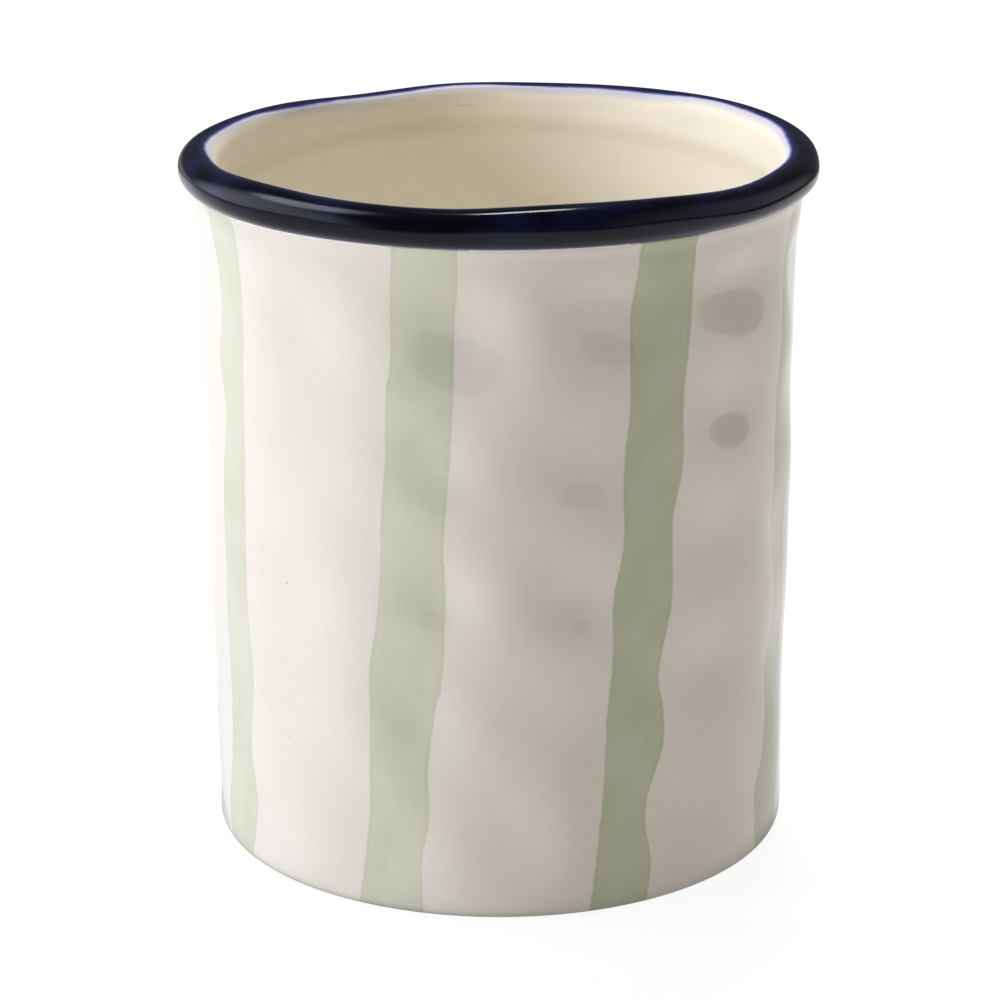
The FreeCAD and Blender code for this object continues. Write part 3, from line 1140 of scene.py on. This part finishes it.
@dataclass(frozen=True)
class Studio:
    """White sweep, soft lamps and the camera."""

    lamps: tuple[SoftLamp, ...] = (
        SoftLamp(
            "key_left", place=(-1.11, -0.34, 0.42), aim=(0.0, 0.0, 0.08), size=(0.20, 0.50), power=8.9,
            colour=(0.925, 0.945, 1.0), mirrored=False,
        ),
        SoftLamp(
            "high_left", place=(-0.70, 0.15, 1.00), aim=(0.0, 0.0, 0.12), size=(0.30, 0.20), power=4.6,
            colour=(0.95, 0.97, 1.0), mirrored=False,
        ),
        SoftLamp("top_back", place=(0.03, 0.36, 1.13), aim=(0.0, 0.0, 0.15), size=(0.26, 0.14), power=2.9),
        SoftLamp(
            "well_fill", place=(0.10, 0.76, 0.68), aim=(0.0, -0.05, 0.14), size=(0.30, 0.30), power=6.8,
            colour=(1.0, 0.97, 0.92), mirrored=False,
        ),
    )
    ambient_left: Colour = (0.12, 0.11, 0.10, 1.0)
    ambient_right: Colour = (0.24, 0.22, 0.20, 1.0)
    ambient_span: Span = (-1.0, 0.2)
    # Mirrored surroundings: levels, and the parts of the sky that they fill
    front_gloss: float = 0.03
    back_gloss: float = 0.08
    room_span: Span = (-0.15, 0.15)
    left_card: float = 2.2
    left_card_span: Span = (-0.95, -0.6)
    right_card: float = 0.6
    right_card_span: Span = (0.5, 0.9)
    high_card: float = 5.7
    high_card_lamp: str = "high_left"
    high_card_span: Span = (0.94, 0.99)
    card_tint: Colour = (0.90, 0.95, 1.15, 1.0)
    # Floor as the camera sees it
    floor_reach: float = 4.0
    floor_white: float = 0.12
    floor_glow: float = 0.92
    white_span: Span = (0.5, 1.2)
    # Pale table top that glows to light the crock, though it is no lamp: its level, and the shares of it
    # that are left behind the crock, and near it, in its shade and at its foot, where they are painted
    # shadows
    table_glow: float = 0.98
    table_tint: Colour = (1.0, 0.935, 0.865, 1.0)
    table_half: Spot = (0.70, 0.85, 1.0)
    table_edge: Span = (1.0, 1.03)
    near_shadow_span: Span = (0.1, 0.35)
    near_shadow_share: float = 0.8
    behind_span: Span = (-0.05, 0.25)
    behind_share: float = 0.7
    shade: Spot = (0.15, -0.03, 0.0)
    shade_span: Span = (0.05, 0.24)
    shade_share: float = 0.7
    contact_shadow_span: Span = (0.069, 0.077)
    contact_shadow_share: float = 0.4
    # Table top as the glaze mirrors it, and the dim floor round the table
    mirrored_tint: Colour = (1.0, 0.97, 0.97, 1.0)
    mirrored_span: Span = (0.4, 0.9)
    mirrored_shares: Span = (0.82, 0.95)
    mirrored_left_span: Span = (-0.95, -0.5)
    mirrored_left_share: float = 0.8
    dim_span: Span = (-0.9, -0.3)
    dim_levels: Span = (0.4, 0.08)
    eye: Spot = (0.0, -777.0 * MM, 334.0 * MM)
    target: Spot = (0.0, 0.0, 80.0 * MM)
    lens: float = 120.1
    sensor: float = 36.0

    def build(self) -> None:
        """Set up camera, lamps, floor and surroundings."""
        bpy.context.scene.view_settings.view_transform = "Standard"
        self.build_camera()
        for lamp in self.lamps:
            lamp.build()
        self.build_floor()
        self.build_surroundings()

    def build_camera(self) -> None:
        """Camera at the photographed angle."""
        lens = bpy.data.cameras.new("camera")
        lens.sensor_width = self.sensor
        lens.lens = self.lens
        holder = bpy.data.objects.new("camera", lens)
        bpy.context.scene.collection.objects.link(holder)
        point_at(holder, self.eye, self.target)
        bpy.context.scene.camera = holder

    def build_floor(self) -> None:
        """Pale floor that looks white and keeps the crock's shadow."""
        shape = bmesh.new()
        bmesh.ops.create_grid(shape, x_segments=2, y_segments=2, size=self.floor_reach)
        floor = bpy.data.objects.new("floor", finished_mesh("floor", shape))
        bpy.context.scene.collection.objects.link(floor)
        made = new_material("floor_white")
        bench = Bench(made.node_tree)
        rays = bench.add("LightPath").outputs
        spot = bench.add("TexCoord").outputs["Object"]
        away = bench.vector("LENGTH", spot).outputs["Value"]
        seen = bench.math("MAXIMUM", rays["Is Camera Ray"], rays["Is Transmission Ray"])
        lit = self.table_level(bench, spot, away, rays["Is Glossy Ray"])
        strength = bench.between(seen, lit, bench.ramp(away, *self.white_span, self.floor_glow, 1.0))
        tint = bench.blend(rays["Is Glossy Ray"], self.table_tint, self.mirrored_tint)
        tint = bench.blend(seen, tint, WHITE)
        plain = bench.add("BsdfDiffuse", {"Color": (self.floor_white,) * 3 + (1.0,)})
        glow = bench.add("Emission", {"Color": tint, "Strength": strength})
        both = bench.add("AddShader", {0: plain.outputs[0], 1: glow.outputs[0]})
        bench.add("OutputMaterial", {"Surface": both.outputs[0]})
        floor.data.materials.append(made)

    def table_level(self, bench: Bench, spot: Socket, away: Socket, glossy: Socket) -> Socket:
        """Light that the glowing table top and the floor round it send to the crock, with painted shadows in
        it.

        Args:
            bench: Bench of the floor's material.
            spot: Object coordinates of the floor.
            away: Distance from the crock's axis.
            glossy: Socket that is 1 for what the glaze mirrors.

        Returns:
            Socket with the level.
        """
        x, y, _ = bench.add("SeparateXYZ", {0: spot}).outputs
        behind = bench.ramp(y, *self.behind_span, self.table_glow, self.behind_share * self.table_glow)
        # Painted shadow: the glow is dimmer near the crock
        table = bench.math("MULTIPLY", bench.ramp(away, *self.near_shadow_span, self.near_shadow_share, 1.0), behind)
        # Painted shadow of the crock on the table, to its right
        shaded = bench.vector("DISTANCE", spot, self.shade).outputs["Value"]
        table = bench.math("MULTIPLY", table, bench.ramp(shaded, *self.shade_span, self.shade_share, 1.0))
        side = bench.math("DIVIDE", x, away)
        levels = [share * self.table_glow for share in self.mirrored_shares]
        mirrored = bench.ramp(side, *self.mirrored_span, *levels)
        left = bench.ramp(side, *self.mirrored_left_span, self.mirrored_left_share, 1.0)
        table = bench.between(glossy, table, bench.math("MULTIPLY", mirrored, left))
        # Painted contact shadow: the glow is dimmer at the crock's foot
        foot_shadow = bench.ramp(away, *self.contact_shadow_span, self.contact_shadow_share, 1.0)
        table = bench.math("MULTIPLY", table, foot_shadow)
        share = bench.vector("DIVIDE", spot, self.table_half).outputs[0]
        share = bench.vector("ABSOLUTE", share).outputs[0]
        share_x, share_y, _ = bench.add("SeparateXYZ", {0: share}).outputs
        edge = bench.math("MAXIMUM", share_x, share_y)
        dim = bench.ramp(x, *self.dim_span, *self.dim_levels)
        return bench.ramp(edge, *self.table_edge, table, dim)

    def build_surroundings(self) -> None:
        """White behind the crock, a dim room in front of it for reflections, and even soft light."""
        world = bpy.data.worlds.new("studio")
        bpy.context.scene.world = world
        world.use_nodes = True
        bench = Bench(world.node_tree)
        rays = bench.add("LightPath").outputs
        sky_way = bench.add("TexCoord").outputs["Generated"]
        x, y, _ = bench.add("SeparateXYZ", {0: sky_way}).outputs
        room = bench.ramp(y, *self.room_span, self.front_gloss, self.back_gloss)
        room = bench.math("ADD", room, bench.ramp(x, *self.left_card_span, self.left_card, 0.0))
        room = bench.math("ADD", room, bench.ramp(x, *self.right_card_span, 0.0, self.right_card))
        lamp = next(lamp for lamp in self.lamps if lamp.name == self.high_card_lamp)
        high_way = (Vector(lamp.place) - Vector(lamp.aim)).normalized()
        facing = bench.vector("DOT_PRODUCT", sky_way, high_way).outputs["Value"]
        room = bench.math("ADD", room, bench.ramp(facing, *self.high_card_span, 0.0, self.high_card))
        ambient = bench.blend(bench.ramp(x, *self.ambient_span), self.ambient_left, self.ambient_right)
        glossy = bench.math("MAXIMUM", rays["Is Glossy Ray"], rays["Is Transmission Ray"])
        level = bench.blend(glossy, ambient, bench.blend(1.0, self.card_tint, room, "MULTIPLY"))
        level = bench.blend(rays["Is Camera Ray"], level, WHITE)
        sky = bench.add("Background", {"Color": level})
        bench.add("OutputWorld", {"Surface": sky.outputs[0]})


# Left and right edge of each brushed stroke on the front, as (height, place) in millimetres
STROKES: tuple[tuple[Line, Line], ...] = (
    (
        ((161, -82.8), (154, -82.2), (147, -80.6), (138, -80.4), (126, -82.4), (112, -79.0), (103, -81.0),
         (85, -82.0), (69, -83.6), (45, -83.0), (21, -83.4), (11, -85.4), (0, -84.0)),
        ((161, -69.5), (152, -68.6), (138, -67.6), (118, -69.0), (94, -70.2), (70, -70.2), (47, -69.1),
         (30, -71.1), (17, -69.5), (0, -72.2)),
    ),
    (
        ((161, -23.6), (149, -24.6), (134, -24.8), (127, -25.7), (112, -26.5), (97, -27.6), (81, -28.2),
         (70, -29.3), (62, -30.8), (46, -31.3), (26, -31.6), (14, -33.0), (0, -34.7)),
        ((161, -9.2), (152, -9.3), (145, -10.2), (127, -10.4), (115, -11.2), (104, -12.0), (93, -12.7),
         (74, -12.8), (58, -13.6), (50, -15.5), (38, -16.8), (24, -16.7), (17, -18.1), (0, -18.2)),
    ),
    (
        ((161, 31.2), (154, 31.2), (143, 30.4), (121, 30.0), (106, 28.9), (89, 28.6), (79, 27.0), (62, 26.5),
         (48, 25.4), (33, 24.7), (21, 23.6), (0, 21.3)),
        ((161, 46.0), (146, 46.3), (136, 45.5), (125, 44.4), (104, 44.1), (95, 42.2), (85, 42.2), (72, 41.5),
         (64, 39.6), (56, 38.5), (49, 40.0), (38, 39.9), (33, 38.2), (27, 36.3), (20, 35.9), (12, 37.4),
         (0, 36.2)),
    ),
    (
        ((161, 86.5), (147, 84.2), (130, 83.2), (109, 82.0), (84, 82.4), (56, 83.8), (49, 80.6), (35, 80.2),
         (24, 78.9), (19, 76.3), (10, 76.0), (0, 77.0)),
        ((161, 102.0), (140, 101.0), (118, 98.0), (96, 99.0), (74, 97.0), (52, 97.6), (30, 94.0),
         (12, 92.5), (0, 92.0)),
    ),
)

# How much glaze the brush carried, for the strokes on the front and then those on the back; the low loads
# of the two front strokes on the lamp-lit left are also painted light, making them paler where they are lit
LOADS_AND_PAINTED_LIGHT: tuple[float, ...] = (0.1, 0.15, 0.8, 0.95, 0.6, 0.8, 0.5, 0.7)


def main() -> None:
    """Build the crock and its studio."""
    logging.basicConfig(level=logging.INFO, format="%(name)s %(message)s")
    form = CrockForm()
    effects = GlazeEffects()
    white = WhiteGlaze()
    white_material = white.material(effects)
    sage_material = SageGlaze().material(effects, white)
    Wall(form).build(white_material)
    WellFloor(form).build(white_material)
    RolledLip(form).build(NavyGlaze().material(effects, white))
    for index, load in enumerate(LOADS_AND_PAINTED_LIGHT):
        round_number, stroke = divmod(index, len(STROKES))
        left, right = STROKES[stroke]
        moved = round_number * form.girth / REPEATS
        Stripe(form, index + 1, left, right, load, moved).build(sage_material)
    Studio().build()
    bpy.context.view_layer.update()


if __name__ == "__main__":
    main()
